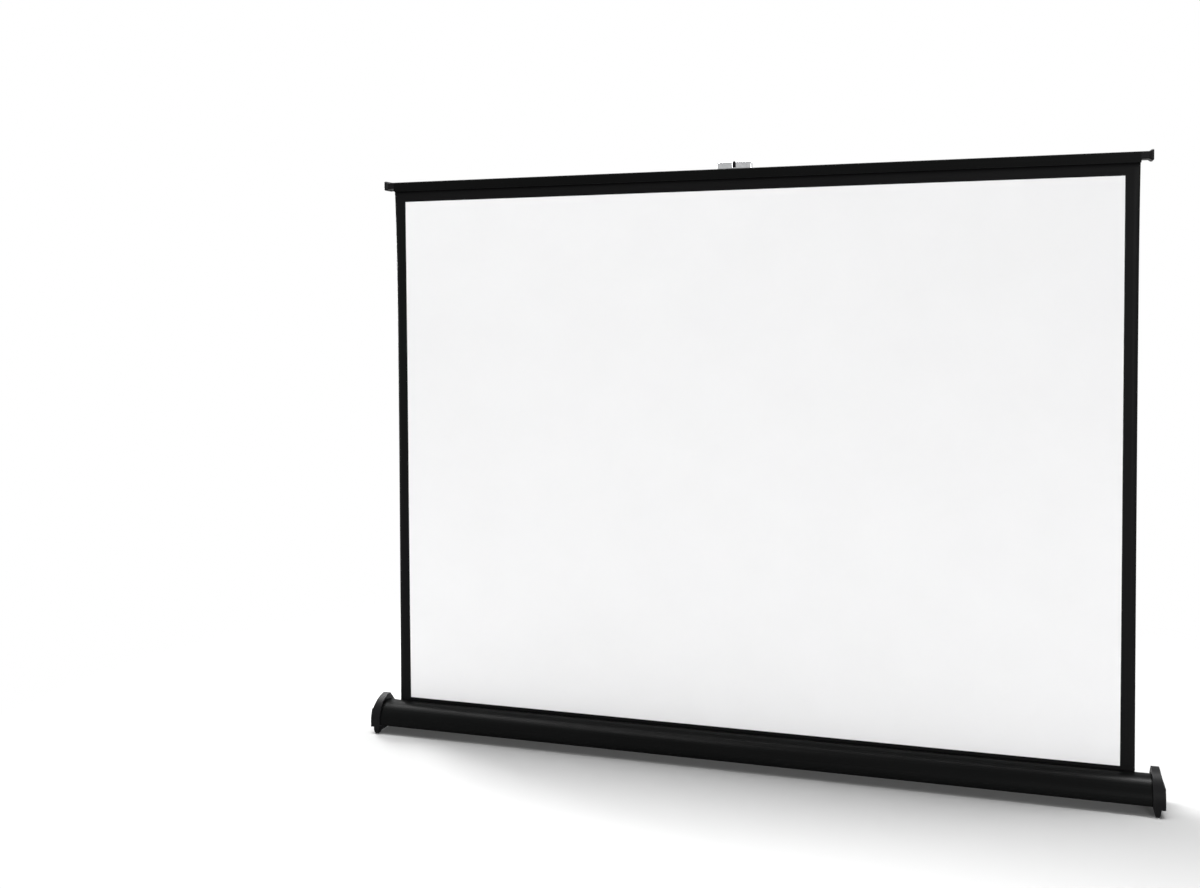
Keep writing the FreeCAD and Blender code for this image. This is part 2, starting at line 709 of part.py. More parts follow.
def torsion_spring():
    body = new_body("spring")
    wire = new_sketch(body, "spring_wire", "XZ")
    ring(wire, "dims.spring_radius", "0", "dims.spring_wire / 2")
    coil = body.newObject("PartDesign::AdditiveHelix", "spring_coil")
    coil.Profile = wire
    coil.ReferenceAxis = (wire, ["V_Axis"])
    coil.Mode = "pitch-turns-angle"
    bind(coil, {"Pitch": "dims.spring_pitch", "Turns": "dims.spring_turns"})
    place(body, on_roller("pos.spring_start"), ALONG_X)
    node(body, "torsion_spring")
    node(sleeve("anchor", "dims.shaft_dia / 2 + dims.plug_fit", "pos.tube_bore - dims.anchor_gap",
                "dims.anchor_length", on_roller("pos.anchor_start"), ALONG_X), "spring_anchor")


# Cloth

def screen_fabric():
    body = new_body("screen_fabric")
    half = "dims.cloth_thick / 2"
    top = "pos.hem_z - (pos.hem_inner + pos.hem_outer) / 2"
    sheet = new_sketch(body, "cloth_section", "YZ")
    outline(sheet, [
        (f"pos.cloth_low_y - {half}", "pos.roller_z"), (f"pos.cloth_low_y + {half}", "pos.roller_z"),
        (f"pos.groove_y + {half}", top), (f"pos.groove_y - {half}", top),
    ])
    pad(body, sheet, "2 * pos.cloth_half", both_ways=True)
    hem = new_sketch(body, "hem_section", "YZ")
    for radius in ("pos.hem_outer", "pos.hem_inner"):
        ring(hem, "pos.groove_y", "pos.hem_z", radius)
    pad(body, hem, "2 * pos.cloth_half", both_ways=True)
    node(body, "screen_fabric")
    radius, length = "dims.rod_dia / 2", "2 * (pos.cloth_half - dims.rod_inset)"
    at = ("dims.rod_inset - pos.cloth_half", "pos.groove_y", "pos.hem_z")
    node(round_bar("rod", radius, length, at), "fabric_rod")


# Top bar

def top_bar():
    body = new_body("top_bar")
    section = new_sketch(body, "bar_section", "YZ")
    slot_front = "pos.groove_y - dims.groove_slot / 2"
    slot_rear = "pos.groove_y + dims.groove_slot / 2"
    lip = "pos.bar_bottom + dims.lip_thick"
    outline(section, [
        ("pos.case_rear", "pos.bar_bottom"),
        ("pos.case_rear", "pos.bar_top - dims.bar_round", "dims.bar_round", 1),
        ("pos.case_rear - dims.bar_round", "pos.bar_top"),
        ("pos.bar_front + dims.bar_round", "pos.bar_top", "dims.bar_round", 1),
        ("pos.bar_front", "pos.bar_top - dims.bar_round"),
        ("pos.bar_front", "pos.bar_bottom"),
        (slot_front, "pos.bar_bottom"),
        (slot_front, lip),
        ("pos.groove_front", lip),
        ("pos.groove_front", "pos.web_under"),
        ("pos.rail_front", "pos.web_under"),
        ("pos.rail_front", lip),
        (slot_rear, lip),
        (slot_rear, "pos.bar_bottom"),
        ("pos.channel_front", "pos.bar_bottom"),
        ("pos.channel_front", "pos.web_under"),
        ("pos.channel_rear", "pos.web_under"),
        ("pos.channel_rear", "pos.bar_bottom"),
    ])
    pad(body, section, "2 * pos.bar_half", both_ways=True)
    rail_holes(body, "top_pivot_hole", "dims.rivet_dia / 2", "pos.top_pivot_z",
               [mirrored(side, "dims.pivot_half") for side in SIDES.values()])
    width = "dims.hook_thick + 2 * dims.hook_fit"
    length = "dims.stem_length + dims.latch_travel + 2 * dims.hook_fit"
    box(body, "Subtractive", "latch_slot", (length, width, "dims.bar_wall"),
        ("-dims.stem_length / 2 - dims.latch_travel - dims.hook_fit", f"pos.channel_mid - ({width}) / 2",
         "pos.web_under"))
    node(body, "top_bar")


def top_bar_plug(name, side):
    """An end of the bar: a neck lower than the bar, flared to a flange, and a spigot in the arm channel."""
    label = f"top_bar_plug_{name}"
    body = new_body(label)
    flare = "dims.flange_flare"
    neck_end, flange_x = "pos.bar_half + dims.neck_length", "pos.bar_end - dims.flange_thick"
    slim = round_rectangle("pos.bar_front", "pos.case_rear", "pos.plug_low", "pos.bar_top", "dims.bar_round")
    wide = round_rectangle(f"pos.bar_front - {flare}", "pos.case_rear + dims.flange_rear",
                           f"pos.plug_low - {flare}", f"pos.bar_top + {flare}", "dims.flange_round")
    neck = new_sketch(body, label + "_neck", "YZ", reach(side, "pos.bar_half", neck_end))
    outline(neck, slim)
    pad(body, neck, "dims.neck_length")
    flare_start = new_sketch(body, label + "_flare_start", "YZ", mirrored(side, neck_end))
    outline(flare_start, slim)
    flare_end = new_sketch(body, label + "_flare_end", "YZ", mirrored(side, flange_x))
    outline(flare_end, wide)
    taper = body.newObject("PartDesign::AdditiveLoft", label + "_flare")
    taper.Profile = flare_start
    taper.Sections = [flare_end]
    taper.Ruled = True
    rim = new_sketch(body, label + "_flange", "YZ", reach(side, flange_x, "pos.bar_end"))
    outline(rim, wide)
    pad(body, rim, "dims.flange_thick")
    round_edges(body, label + "_edge", "dims.flange_edge", lies_on("X", mirrored(side, "pos.bar_end")))
    spigot = ("dims.spigot_length", "pos.channel_width - 2 * dims.spigot_fit",
              "dims.bar_height - dims.bar_wall - dims.spigot_fit")
    box(body, "Additive", label + "_spigot", spigot,
        (reach(side, "pos.bar_half - dims.spigot_length", "pos.bar_half"),
         "pos.channel_front + dims.spigot_fit", "pos.bar_bottom"))
    node(body, label)


# Folding arms

def arm(name, side, level):
    """A flat bar from its pivot to its elbow: lower arms stand on the rail, upper arms hang from the bar."""
    lower = level == "lower"
    label = f"{name}_{level}_arm"
    front, rear = (f"pos.{level}_front", f"pos.{level}_rear")
    half, boss, blend = "dims.arm_width / 2", "dims.elbow_boss / 2", "dims.elbow_blend"
    body = new_body(label)
    blade = new_sketch(body, label + "_outline", "XZ", f"-{rear}")
    outline(blade, [
        (f"-{half}", "0", half, 1), ("0", f"-{half}", half, 1), (half, "0"),
        (half, "pos.neck_z", blend, -1), ("pos.boss_x", "pos.boss_z", boss, 1),
        (boss, "pos.arm_length", boss, 1), ("0", f"pos.arm_length + {boss}", boss, 1),
        (f"-{boss}", "pos.arm_length", boss, 1), ("-pos.boss_x", "pos.boss_z", blend, -1),
        (f"-{half}", "pos.neck_z"),
    ])
    pad(body, blade, "dims.arm_thick")
    round_edges(body, label + "_round", "dims.arm_round", lies_on("Y", front, rear))
    for z in ("0", "pos.arm_length"):
        cylinder(body, "Subtractive", label + "_hole", "dims.rivet_dia / 2 + dims.rivet_fit",
                 "dims.arm_thick", ("0", front, z), ALONG_Y)
    body.Placement = FreeCAD.Placement(FreeCAD.Vector(), FreeCAD.Rotation(FreeCAD.Vector(0, side, 0), 1))
    bind(body, {
        "Placement.Base.x": mirrored(side, "dims.pivot_half"),
        "Placement.Base.z": "pos.base_pivot_z" if lower else "pos.top_pivot_z",
        "Placement.Rotation.Angle": "dims.raised_angle" if lower else "180 - dims.raised_angle",
    })
    node(body, label)


def elbow(name, side):
    at_rear = (mirrored(side, "pos.elbow_x"), "pos.upper_rear", "pos.elbow_z")
    grip = "2 * dims.arm_thick + dims.washer_thick + dims.spacer_gap"
    node(rivet(f"{name}_elbow", "dims.rivet_dia / 2", grip, "dims.rivet_head / 2", "dims.rivet_head_height",
               at_rear, ALONG_Y, tail=("dims.rivet_tail / 2", "dims.rivet_tail_height - dims.spacer_gap")),
         f"{name}_elbow_rivet")
    washer = sleeve(f"{name}_washer", "dims.rivet_dia / 2 + dims.rivet_fit", "dims.washer_dia / 2",
                    "dims.washer_thick - dims.spacer_gap",
                    (at_rear[0], "pos.lower_rear + dims.spacer_gap", "pos.elbow_z"), ALONG_Y)
    node(washer, f"{name}_elbow_washer")


def pivots(level, z, front, rear):
    """Rivets across a channel with a spacer each side of the arm, whose faces are at front and rear."""
    rivets, spacers = [], []
    gap = "dims.spacer_gap"
    stretches = {"front": ("pos.channel_front", f"{front} - pos.channel_front - {gap}"),
                 "rear": (f"{rear} + {gap}", f"pos.channel_rear - {rear} - {gap}")}
    for name, side in SIDES.items():
        x = mirrored(side, "dims.pivot_half")
        rivets.append(rivet(f"{name}_{level}_rivet", "dims.rivet_dia / 2", "pos.rail_depth",
                            "dims.pivot_head / 2", "dims.pivot_head_height",
                            (x, "pos.case_rear", z), ALONG_Y))
        for end, (start, length) in stretches.items():
            spacers.append(sleeve(f"{name}_{level}_{end}_spacer", "dims.rivet_dia / 2 + dims.rivet_fit",
                                  "dims.spacer_dia / 2", length, (x, start, z), ALONG_Y))
    group_node(f"{level}_pivot_rivets", rivets)
    group_node(f"{level}_pivot_spacers", spacers)


# Latch

def across_bar(body, name, width):
    """A sketch seen from the front, to be padded by width, centred over the arm channel."""
    return new_sketch(body, name, "XZ", f"-(pos.channel_mid + {width} / 2)")


def latch_grip():
    body = new_body("latch_grip")
    half, gap, radius = "dims.grip_length / 2", "(dims.fin_width / 2 + dims.fin_fit)", "dims.grip_round"
    low, top, shelf = "pos.grip_low", "pos.grip_low + dims.grip_height", "pos.grip_low + dims.grip_base"
    profile = across_bar(body, "grip_profile", "dims.grip_width")
    outline(profile, [
        (f"-{half}", low), (half, low), (half, f"{top} - {radius}", radius, 1), (f"{half} - {radius}", top),
        (gap, top), (gap, shelf), (f"-{gap}", shelf), (f"-{gap}", top),
        (f"-{half} + {radius}", top, radius, 1), (f"-{half}", f"{top} - {radius}"),
    ])
    pad(body, profile, "dims.grip_width")
    faces = [f"pos.channel_mid {sign} dims.grip_width / 2" for sign in "-+"]
    round_edges(body, "grip_edges", "dims.grip_edge", lies_on("Y", *faces))
    box(body, "Subtractive", "grip_mortise", ("dims.stem_length", "dims.hook_thick", "dims.hook_tenon"),
        ("-dims.stem_length / 2", "pos.channel_mid - dims.hook_thick / 2", low))
    node(body, "latch_grip")


def latch_fin():
    body = new_body("latch_fin")
    half, low, top = "dims.fin_width / 2", "pos.grip_low + dims.grip_base", "pos.grip_low + dims.fin_height"
    profile = across_bar(body, "fin_profile", "dims.grip_width")
    outline(profile, [(f"-{half}", low), (half, low), (f"{half} - dims.fin_taper", top),
                      (f"-{half} + dims.fin_taper", top)])
    pad(body, profile, "dims.grip_width")
    node(body, "latch_fin")


def latch_hook():
    body = new_body("latch_hook")
    half, top = "dims.stem_length / 2", "pos.grip_low + dims.hook_tenon"
    profile = across_bar(body, "hook_profile", "dims.hook_thick")
    outline(profile, [
        ("pos.hook_tip", "pos.hook_low"), (half, "pos.hook_low"), (half, top), (f"-{half}", top),
        (f"-{half}", "pos.hook_top"), ("pos.hook_tip + dims.hook_nose", "pos.hook_top"),
        ("pos.hook_tip", "pos.hook_top - dims.hook_nose"),
    ])
    pad(body, profile, "dims.hook_thick")
    x, z = "pos.hook_tip + dims.hook_screw_place", "(pos.hook_low + pos.hook_top) / 2"
    shank = "dims.hook_screw_dia / 2"
    cylinder(body, "Subtractive", "hook_screw_hole", f"{shank} + dims.thread_fit", "dims.hook_thick",
             (x, "pos.channel_mid - dims.hook_thick / 2", z), ALONG_Y)
    node(body, "latch_hook")
    node(rivet("hook_screw", shank, "dims.hook_thick", "dims.hook_screw_head / 2", "dims.hook_screw_height",
               (x, "pos.channel_mid + dims.hook_thick / 2", z), ALONG_Y), "latch_screw")


def latch_keeper():
    body = new_body("latch_keeper")
    plate_low = "pos.keeper_top - dims.keeper_thick"
    box(body, "Additive", "keeper_bridge", ("dims.keeper_length", "pos.channel_width", "dims.keeper_thick"),
        ("pos.keeper_left", "pos.channel_front", plate_low))
    ear = ("dims.keeper_length", "dims.keeper_thick", "pos.keeper_top - pos.rail_top + dims.keeper_ear")
    for y in ("pos.channel_front", "pos.channel_rear - dims.keeper_thick"):
        box(body, "Additive", "keeper_ear", ear, ("pos.keeper_left", y, "pos.rail_top - dims.keeper_ear"))
    rail_holes(body, "keeper_rivet_hole", "dims.keeper_rivet_dia / 2 + dims.thread_fit", "pos.keeper_rivet_z",
               ["pos.keeper_x"])
    node(body, "latch_keeper")
    length = "dims.wall + dims.keeper_thick"
    seats = {"front": ("pos.rail_front", AGAINST_Y), "rear": ("pos.case_rear", ALONG_Y)}
    group_node("keeper_rivets", [
        rivet(f"keeper_{end}_rivet", "dims.keeper_rivet_dia / 2", length, "dims.keeper_rivet_head / 2",
              "dims.keeper_rivet_height", ("pos.keeper_x", y, "pos.keeper_rivet_z"), rotation)
        for end, (y, rotation) in seats.items()])


def build():
    case_extrusion()
    for name, side in SIDES.items():
        end_cap(name, side)
        top_bar_plug(name, side)
        for level in ("lower", "upper"):
            arm(name, side, level)
        elbow(name, side)
    end_cap_screws()
    foot_pads()
    roller()
    spring_shaft()
    idle_pin()
    torsion_spring()
    screen_fabric()
    top_bar()
    pivots("base", "pos.base_pivot_z", "pos.lower_front", "pos.lower_rear")
    pivots("top", "pos.top_pivot_z", "pos.upper_front", "pos.upper_rear")
    latch_grip()
    latch_fin()
    latch_hook()
    latch_keeper()


def check_and_export():
    doc.recompute()
    failed = [o.Name for o in doc.Objects if {"Invalid", "Error"} & set(o.State)]
    failed += [o.Label for o in nodes if o.Shape.isNull() or not o.Shape.isValid()]
    if failed:
        raise SystemExit("not built: " + ", ".join(failed))
    os.makedirs("parts", exist_ok=True)
    for piece in nodes:
        piece.Shape.exportStep(f"parts/{piece.Label}.step")


build()
check_and_export()
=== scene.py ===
"""Looks of a raised tabletop projection screen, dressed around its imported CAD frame."""
import math

import bpy
from mathutils import Matrix, Vector

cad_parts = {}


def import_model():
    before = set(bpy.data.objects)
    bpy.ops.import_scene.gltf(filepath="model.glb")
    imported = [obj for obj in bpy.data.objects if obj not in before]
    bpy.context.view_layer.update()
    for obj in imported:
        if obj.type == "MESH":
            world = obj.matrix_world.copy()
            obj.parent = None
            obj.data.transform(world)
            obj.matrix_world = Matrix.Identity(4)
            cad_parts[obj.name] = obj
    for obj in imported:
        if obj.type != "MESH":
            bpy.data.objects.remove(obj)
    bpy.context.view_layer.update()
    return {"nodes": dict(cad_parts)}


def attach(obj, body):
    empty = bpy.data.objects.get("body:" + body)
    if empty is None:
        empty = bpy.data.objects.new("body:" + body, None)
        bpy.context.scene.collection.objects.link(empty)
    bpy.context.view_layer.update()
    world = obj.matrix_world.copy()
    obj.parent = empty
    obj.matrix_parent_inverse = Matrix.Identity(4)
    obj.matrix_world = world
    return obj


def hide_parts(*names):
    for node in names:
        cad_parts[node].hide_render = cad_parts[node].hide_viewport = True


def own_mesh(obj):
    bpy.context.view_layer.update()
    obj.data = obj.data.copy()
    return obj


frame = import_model()

# Camera, for an image of 1200 by 888
CAMERA_PLACE = (0.2927, -1.3846, 0.5225)
CAMERA_AIM = (-0.1694, 0.0409, 0.4568)
CAMERA_ROLL = math.radians(-0.478)
CAMERA_LENS = 37.71
SENSOR_WIDTH = 36.0
CAMERA_SHIFT = -0.07

# Cloth, in metres: its section runs from the roller up to the hem around the rod
CLOTH_HALF = 0.421
CLOTH_THICK = 0.0003
ROLLER_END = Vector((0.0, 0.0034, 0.0223))
HEM_CENTRE = Vector((0.0, 0.00845, 0.6652))
HEM_RADIUS = 0.00095
HEM_TURN = math.radians(320)
CLOTH_ROWS = 90
HEM_ROWS = 16
MIDDLE_COLUMNS = 40
EDGE_COLUMNS = 10
WHITE_HALF = 0.4065
WHITE_LOW = 0.0398
WHITE_HIGH = 0.6498
BORDER_BLUR = 0.0002
FRONT_PITCH = 0.0009
BACK_PITCH = 0.0011

# The cloth's edges curl back over this width and lose this much of it, fading out towards both ends
CURL_WIDTH = 0.007
CURL_LOSS = 0.0008
CURL_FADE_TOP = 0.11
CURL_FADE_LOW = 0.28

# Its ripples: height, waves across, how far and how often they sway, share in the middle, flatness
RIPPLE = 0.00025
RIPPLE_WAVES = 23
RIPPLE_SWAY = 1.3
SWAY_WAVES = 7
RIPPLE_MIDDLE = 0.4
RIPPLE_FLATNESS = 8

# Pairs of colours that a material varies between, and the colours of worn edges, which on the anodised
# and plastic parts are also a painted highlight
ANODISED = ((0.0016, 0.0017, 0.0017, 1), (0.0026, 0.0028, 0.0028, 1))
ANODISED_EDGE_WEAR_AND_HIGHLIGHT = (0.05, 0.05, 0.052, 1)
PAINT = (0.0042, 0.0042, 0.0044, 1)
PAINT_WORN = (0.12, 0.12, 0.124, 1)
PLASTIC = ((0.0025, 0.0025, 0.0028, 1), (0.004, 0.004, 0.0043, 1))
PLASTIC_EDGE_WEAR_AND_HIGHLIGHT = (0.04, 0.04, 0.043, 1)
PLASTIC_EDGE_WEAR_AND_HIGHLIGHT_SHARE = 0.4
RUBBER = ((0.005, 0.005, 0.005, 1), (0.014, 0.0138, 0.0135, 1))
CHROME = ((0.5, 0.505, 0.51, 1), (0.36, 0.365, 0.375, 1))
ZINC = ((0.58, 0.585, 0.59, 1), (0.42, 0.425, 0.43, 1))
BLACK_ZINC = ((0.055, 0.055, 0.058, 1), (0.03, 0.03, 0.032, 1))
ALUMINIUM = ((0.8, 0.805, 0.81, 1), (0.66, 0.665, 0.67, 1))
NYLON = ((0.64, 0.64, 0.62, 1), (0.72, 0.72, 0.7, 1))
NYLON_DEPTH = (0.002, 0.0018, 0.0015)
SCREEN_WHITE = ((0.93, 0.93, 0.935, 1), (0.915, 0.915, 0.92, 1))
BORDER_BLACK = (0.0042, 0.0042, 0.0044, 1)
SCREEN_BACK = ((0.0066, 0.0071, 0.0074, 1), (0.0129, 0.0137, 0.0141, 1))

# Where most values of a noise lie, and how far the normal turns from a face to an edge, as cosines
MOST = (0.3, 0.7)
EDGE_TURN = (0.995, 0.86)

# Studio
FLOOR_DROP = 0.0002
FLOOR_SIZE = 14.0
FLOOR_FADE = (0.5, 0.95)
FLOOR_GLOW = 0.04
FLOOR_GREY = ((0.3, 0.3, 0.3, 1), (0.305, 0.305, 0.305, 1))
WORLD_LIGHT = 0.12
BACKGROUND = (1, 1, 1, 1)

# Lamps, each with its place, aim, size and watts: the key lights the cloth from the right, the overhead
# stands behind it for the shadow in front, the strip shines along the case and the side lamp on the arms
LAMPS = {
    "key": ((2.8, -5.0, 0.9), (0, 0, 0.35), (2.2, 1.2), 183),
    "overhead": ((0, 0.25, 2.0), (0, 0.25, 0), (2.6, 0.48), 150),
    "strip": ((-0.75, -0.5, 1.75), (-0.2, 0, 0), (1.1, 0.12), 10),
    "side": ((-1.35, 0.72, 0.7), (0, 0, 0.35), (0.5, 0.5), 38),
}


# Node graphs

class Graph:
    """A material with one Principled shader, and short ways to add to its nodes."""

    def __init__(self, name, **sockets):
        self.material = bpy.data.materials.new(name)
        self.material.use_nodes = True
        self.tree = self.material.node_tree
        self.tree.nodes.clear()
        output = self.add("ShaderNodeOutputMaterial")
        self.shader = self.add("ShaderNodeBsdfPrincipled")
        self.link(self.shader.outputs["BSDF"], output.inputs["Surface"])
        for socket, value in sockets.items():
            self.shader.inputs[socket.replace("_", " ")].default_value = value

    def add(self, kind, **settings):
        node = self.tree.nodes.new(kind)
        for name, value in settings.items():
            setattr(node, name, value)
        return node

    def link(self, source, target):
        self.tree.links.new(source, target)

    def feed(self, socket, target):
        """Sets a node's input to a number or colour, or links another node's output to it."""
        if isinstance(socket, bpy.types.NodeSocket):
            self.link(socket, target)
        else:
            target.default_value = socket

    def place(self, stretch=(1, 1, 1), kind="Object"):
        """The piece's own coordinates, stretched."""
        mapping = self.add("ShaderNodeMapping")
        mapping.inputs["Scale"].default_value = stretch
        self.link(self.add("ShaderNodeTexCoord").outputs[kind], mapping.inputs["Vector"])
        return mapping.outputs["Vector"]

    def split(self, place):
        """The X and Y parts of a place."""
        parts = self.add("ShaderNodeSeparateXYZ")
        self.link(place, parts.inputs[0])
        return parts.outputs["X"], parts.outputs["Y"]

    def noise(self, place, scale=1.0, detail=3.0, roughness=0.55):
        node = self.add("ShaderNodeTexNoise")
        self.link(place, node.inputs["Vector"])
        node.inputs["Scale"].default_value = scale
        node.inputs["Detail"].default_value = detail
        node.inputs["Roughness"].default_value = roughness
        return node.outputs["Fac"]

    def math(self, operation, a, b=0.0):
        node = self.add("ShaderNodeMath", operation=operation)
        self.feed(a, node.inputs[0])
        self.feed(b, node.inputs[1])
        return node.outputs[0]

    def plus(self, a, b):
        return self.math("ADD", a, b)

    def times(self, a, b):
        return self.math("MULTIPLY", a, b)

    def span(self, value, band, to=(0.0, 1.0)):
        """The value moved from one range to another, and kept inside it."""
        node = self.add("ShaderNodeMapRange")
        self.link(value, node.inputs["Value"])
        for name, number in zip(("From Min", "From Max", "To Min", "To Max"), (*band, *to)):
            node.inputs[name].default_value = number
        return node.outputs["Result"]

    def mix(self, share, first, second):
        node = self.add("ShaderNodeMix", data_type="RGBA")
        self.feed(share, node.inputs["Factor"])
        self.feed(first, node.inputs[6])
        self.feed(second, node.inputs[7])
        return node.outputs[2]

    def bump(self, height, strength, depth, under=None):
        node = self.add("ShaderNodeBump")
        node.inputs["Strength"].default_value = strength
        node.inputs["Distance"].default_value = depth
        self.link(height, node.inputs["Height"])
        if under is not None:
            self.link(under, node.inputs["Normal"])
        return node.outputs["Normal"]

    def edges(self, radius):
        """1 along the piece's edges and 0 on its faces."""
        bevel = self.add("ShaderNodeBevel", samples=4)
        bevel.inputs["Radius"].default_value = radius
        turn = self.add("ShaderNodeVectorMath", operation="DOT_PRODUCT")
        self.link(bevel.outputs["Normal"], turn.inputs[0])
        self.link(self.add("ShaderNodeNewGeometry").outputs["Normal"], turn.inputs[1])
        return self.span(turn.outputs["Value"], EDGE_TURN)

    def finish(self, colour, rough, normal):
        """Links the three results to the shader and gives the material."""
        for name, socket in (("Base Color", colour), ("Roughness", rough), ("Normal", normal)):
            self.link(socket, self.shader.inputs[name])
        return self.material


# Materials

def black_anodised():
    """Extruded and black anodised: fine lines along the bar, a dusty grain, and paler edges that are
    partly wear and partly a painted highlight.
    """
    g = Graph("black_anodised", Specular_IOR_Level=0.05)
    lines = g.noise(g.place((3, 900, 900)), detail=4)
    grain = g.noise(g.place(), scale=2600, detail=2)
    patches = g.noise(g.place((4, 30, 30)))
    base = g.mix(g.span(patches, MOST), *ANODISED)
    # The paler edges are partly wear and partly a painted highlight along every edge.
    paler_edges = g.times(g.edges(radius=0.0004), g.span(lines, (0.35, 0.7), to=(0.1, 0.5)))
    rough = g.plus(g.span(lines, MOST, to=(0.25, 0.35)), g.span(grain, MOST, to=(-0.03, 0.05)))
    dusty = g.bump(grain, strength=0.12, depth=0.00003)
    normal = g.bump(lines, strength=0.18, depth=0.00006, under=dusty)
    return g.finish(g.mix(paler_edges, base, ANODISED_EDGE_WEAR_AND_HIGHLIGHT), rough, normal)


def arm_paint():
    """Satin black paint with a slight orange peel, rubbed thin in places along the edges."""
    g = Graph("black_arm_paint", Specular_IOR_Level=0.1)
    peel = g.noise(g.place(), scale=900, detail=1)
    spots = g.noise(g.place(), scale=120, detail=5, roughness=0.7)
    paler_edges = g.times(g.edges(radius=0.0005), g.span(spots, (0.5, 0.62)))
    rough = g.span(spots, (0.3, 0.75), to=(0.22, 0.34))
    normal = g.bump(peel, strength=0.1, depth=0.00005)
    return g.finish(g.mix(paler_edges, PAINT, PAINT_WORN), rough, normal)


def black_plastic():
    """Moulded plastic with an eroded grain, and every edge paler by one share: partly wear and partly a
    painted highlight.
    """
    g = Graph("black_plastic", Specular_IOR_Level=0.085)
    grain = g.noise(g.place(), scale=2200, detail=2, roughness=0.6)
    cloudy = g.noise(g.place(), scale=45)
    base = g.mix(g.span(cloudy, MOST), *PLASTIC)
    # Every edge paler by one share: a painted highlight, with some wear.
    paler_edges = g.times(g.edges(radius=0.0006), PLASTIC_EDGE_WEAR_AND_HIGHLIGHT_SHARE)
    rough = g.span(cloudy, MOST, to=(0.42, 0.56))
    normal = g.bump(grain, strength=0.3, depth=0.00008)
    return g.finish(g.mix(paler_edges, base, PLASTIC_EDGE_WEAR_AND_HIGHLIGHT), rough, normal)


def rubber():
    """Dull rubber with dust in its grain."""
    g = Graph("rubber", Specular_IOR_Level=0.2)
    dust = g.noise(g.place(), scale=700, detail=4, roughness=0.7)
    colour = g.mix(g.span(dust, (0.45, 0.75)), *RUBBER)
    rough = g.span(dust, MOST, to=(0.75, 0.9))
    return g.finish(colour, rough, g.bump(dust, strength=0.35, depth=0.0001))


def drawn_metal(name, greys, rough, stretch):
    """Bare metal with the marks of drawing or turning along the stretched direction."""
    g = Graph(name, Metallic=1.0)
    marks = g.noise(g.place(stretch), detail=5, roughness=0.65)
    dull = g.noise(g.place(), scale=90, detail=4)
    colour = g.mix(g.span(dull, (0.3, 0.75)), *greys)
    scored = g.span(marks, MOST, to=(rough - 0.06, rough + 0.08))
    dulled = g.span(dull, MOST, to=(-0.03, 0.05))
    return g.finish(colour, g.plus(scored, dulled), g.bump(marks, strength=0.2, depth=0.00004))


def chrome():
    """Bright plating with hairline scratches and a trace of handling."""
    g = Graph("chrome", Metallic=1.0)
    hairlines = g.noise(g.place((60, 2600, 2600)))
    film = g.noise(g.place(), scale=160, detail=4, roughness=0.65)
    colour = g.mix(g.span(film, (0.35, 0.75)), *CHROME)
    handled = g.span(film, (0.3, 0.75), to=(0.05, 0.16))
    scratched = g.span(hairlines, (0.55, 0.75), to=(0.0, 0.1))
    normal = g.bump(hairlines, strength=0.06, depth=0.00002)
    return g.finish(colour, g.plus(handled, scratched), normal)


def nylon():
    """Pale moulded plastic that lets a little light in."""
    g = Graph("pale_plastic", Specular_IOR_Level=0.45, Subsurface_Weight=0.08,
              Subsurface_Radius=NYLON_DEPTH)
    cloudy = g.noise(g.place(), scale=130)
    grain = g.noise(g.place(), scale=1800, detail=2)
    colour = g.mix(g.span(cloudy, MOST), *NYLON)
    rough = g.span(cloudy, MOST, to=(0.34, 0.46))
    return g.finish(colour, rough, g.bump(grain, strength=0.15, depth=0.00004))


def weave(g, place, pitch):
    """The height of a plain weave on the cloth's own flat coordinates."""
    across, along = (g.math("SINE", g.times(part, 2 * math.pi / pitch)) for part in g.split(place))
    return g.times(across, along)


def inside(g, value, low, high):
    """1 between two limits, with a narrow soft edge at each."""
    above = g.span(value, (low - BORDER_BLUR, low + BORDER_BLUR))
    below = g.span(value, (high - BORDER_BLUR, high + BORDER_BLUR), to=(1.0, 0.0))
    return g.times(above, below)


def screen_front():
    """Matte white coating with a printed black border, over a fine woven ground."""
    g = Graph("screen_front", Specular_IOR_Level=0.05)
    flat = g.place(kind="UV")
    across, along = g.split(flat)
    low, high = (level - ROLLER_END.z for level in (WHITE_LOW, WHITE_HIGH))
    white = g.times(inside(g, across, -WHITE_HALF, WHITE_HALF), inside(g, along, low, high))
    mottle = g.noise(flat, scale=14, detail=4)
    grain = g.noise(flat, scale=1500, detail=2)
    coating = g.mix(g.span(mottle, MOST), *SCREEN_WHITE)
    rough = g.plus(g.span(white, (0.0, 1.0), to=(0.5, 0.82)), g.span(mottle, MOST, to=(-0.03, 0.03)))
    grainy = g.bump(grain, strength=0.1, depth=0.00003)
    normal = g.bump(weave(g, flat, FRONT_PITCH), strength=0.12, depth=0.00004, under=grainy)
    return g.finish(g.mix(white, BORDER_BLACK, coating), rough, normal)


def screen_back(name, kind):
    """Black woven back with faint bands across it and a slight sheen."""
    g = Graph(name, Specular_IOR_Level=0.1, Sheen_Weight=0.03, Sheen_Roughness=0.5)
    bands = g.noise(g.place((0.6, 55, 55), kind), detail=4, roughness=0.6)
    slubs = g.noise(g.place((25, 700, 700), kind))
    shade = g.plus(g.span(bands, MOST, to=(0.0, 0.6)), g.span(slubs, MOST, to=(0.0, 0.4)))
    rough = g.span(bands, MOST, to=(0.52, 0.62))
    threads = g.bump(weave(g, g.place(kind=kind), BACK_PITCH), strength=0.35, depth=0.00008)
    normal = g.bump(slubs, strength=0.2, depth=0.00006, under=threads)
    return g.finish(g.mix(shade, *SCREEN_BACK), rough, normal)


